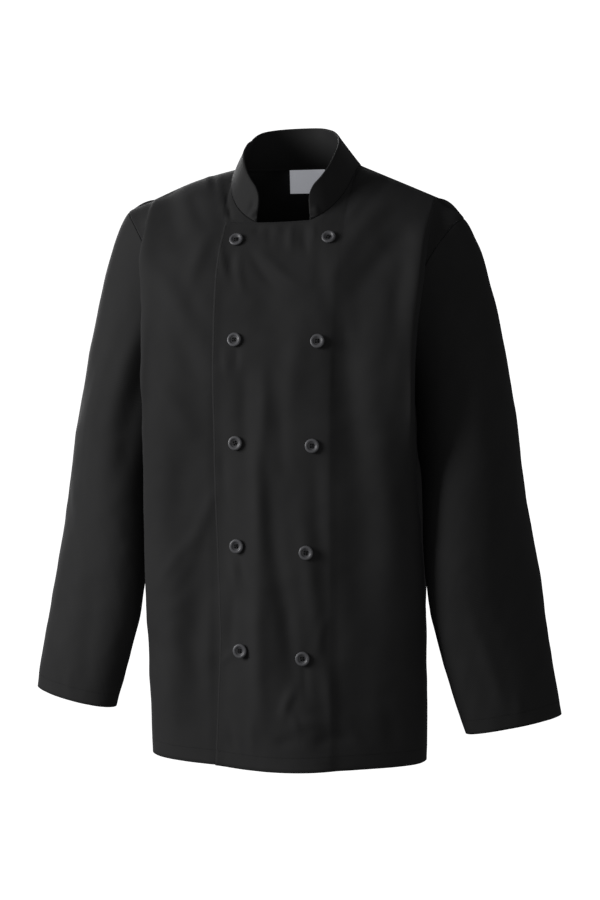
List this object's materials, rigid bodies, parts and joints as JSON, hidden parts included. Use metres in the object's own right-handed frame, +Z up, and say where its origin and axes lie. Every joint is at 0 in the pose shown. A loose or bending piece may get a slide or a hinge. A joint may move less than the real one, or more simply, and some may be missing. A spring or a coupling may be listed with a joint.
{
  "type": "chef jacket",
  "caption": "Plain black double-breasted chef jacket with a stand collar, long plain sleeves and round buttons down its front, hollow and filled out as if worn.",
  "frame": {"origin": "middle of the neck at the height of the shoulder seams' inner ends, where the wearer's shoulders carry the jacket", "axes": "+Z up, from hem to collar; -Y is the jacket's front; +X is the wearer's left"},
  "size_m": [0.6804, 0.2857, 0.8135],
  "materials": {
    "cloth": "matt fine twill, black",
    "button": "satin moulded plastic, black",
    "label": "smooth woven satin, white, bare"
  },
  "bodies": {
    "root": {"back": "cloth", "front_left": "cloth", "front_right": "cloth", "sleeve_left": "cloth", "sleeve_right": "cloth", "collar": "cloth", "label": "label", "button_right_1": "button", "button_right_2": "button", "button_right_3": "button", "button_right_4": "button", "button_right_5": "button", "button_left_1": "button", "button_left_2": "button", "button_left_3": "button", "button_left_4": "button", "button_left_5": "button"}
  },
  "joints": []
}
